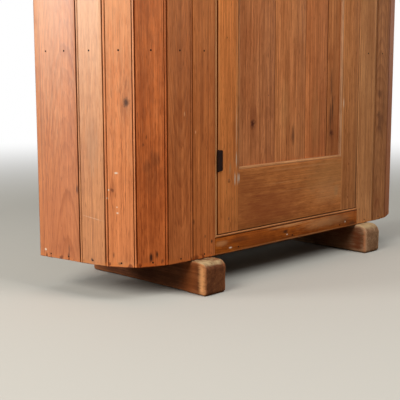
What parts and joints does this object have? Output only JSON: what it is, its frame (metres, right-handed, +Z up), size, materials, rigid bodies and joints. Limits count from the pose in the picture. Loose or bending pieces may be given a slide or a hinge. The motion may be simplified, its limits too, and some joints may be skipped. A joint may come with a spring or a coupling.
{
  "type": "cupboard",
  "caption": "Boarded cupboard with rounded front corners on runner feet, shelved inside, with a framed and panelled door on iron butt hinges and a turn latch.",
  "frame": {"origin": "middle of the footprint, on the floor", "axes": "+X to the right seen from the front, +Y from the front to the back, +Z up"},
  "size_m": [1.2774, 0.442, 1.4],
  "materials": {
    "case_pine": "waxed old pine, orange brown, worn at the edges",
    "door_pine": "waxed old pine, mid brown",
    "inside_pine": "bare aged pine, matt",
    "runner_pine": "scuffed pine, dry and chipped",
    "turned_wood": "dark turned wood, polished by use",
    "iron": "dark oxidised iron"
  },
  "bodies": {
    "case": {"back_board_1": "inside_pine", "back_board_2": "inside_pine", "back_board_3": "inside_pine", "back_board_4": "inside_pine", "back_board_5": "inside_pine", "back_nails": "iron", "bottom_rail": "case_pine", "case_hinge_screws": "iron", "door_stop_bottom": "inside_pine", "door_stop_top": "inside_pine", "floor_board": "inside_pine", "hinge_lower_case_leaf": "iron", "hinge_lower_pin": "iron", "hinge_upper_case_leaf": "iron", "hinge_upper_pin": "iron", "left_side_board": "case_pine", "left_stave_1": "case_pine", "left_stave_2": "case_pine", "left_stave_3": "case_pine", "left_stave_4": "case_pine", "left_stave_5": "case_pine", "opening_bead_bottom": "case_pine", "opening_bead_left": "case_pine", "opening_bead_right": "case_pine", "opening_bead_top": "case_pine", "right_side_board": "case_pine", "right_stave_1": "case_pine", "right_stave_2": "case_pine", "right_stave_3": "case_pine", "right_stave_4": "case_pine", "right_stave_5": "case_pine", "runner_left": "runner_pine", "runner_right": "runner_pine", "shelf_lower": "inside_pine", "shelf_middle": "inside_pine", "shelf_upper": "inside_pine", "stave_nails": "iron", "top_board": "case_pine", "top_rail": "case_pine", "top_rib": "inside_pine"},
    "door": {"door_bottom_rail": "door_pine", "door_hinge_screws": "iron", "door_hinge_stile": "door_pine", "door_lock_stile": "door_pine", "door_moulding_bottom": "door_pine", "door_moulding_left": "door_pine", "door_moulding_right": "door_pine", "door_moulding_top": "door_pine", "door_panel_board_1": "door_pine", "door_panel_board_2": "door_pine", "door_panel_board_3": "door_pine", "door_panel_board_4": "door_pine", "door_pegs": "door_pine", "door_top_rail": "door_pine", "hinge_lower_door_leaf": "iron", "hinge_upper_door_leaf": "iron", "latch_rose": "iron"},
    "latch": {"latch_knob": "turned_wood", "latch_spindle": "iron", "latch_tongue": "iron"}
  },
  "joints": [
    {"name": "door_swing", "type": "hinge", "parent": "case", "child": "door", "pos_m": [-0.3055, -0.1763, 0.717], "axis": [0, 0, -1], "range_deg": [0, 170]},
    {"name": "latch_turn", "type": "hinge", "parent": "door", "child": "latch", "pos_m": [0.2664, -0.1725, 0.8], "axis": [0, 1, 0], "range_deg": [0, 90]}
  ]
}
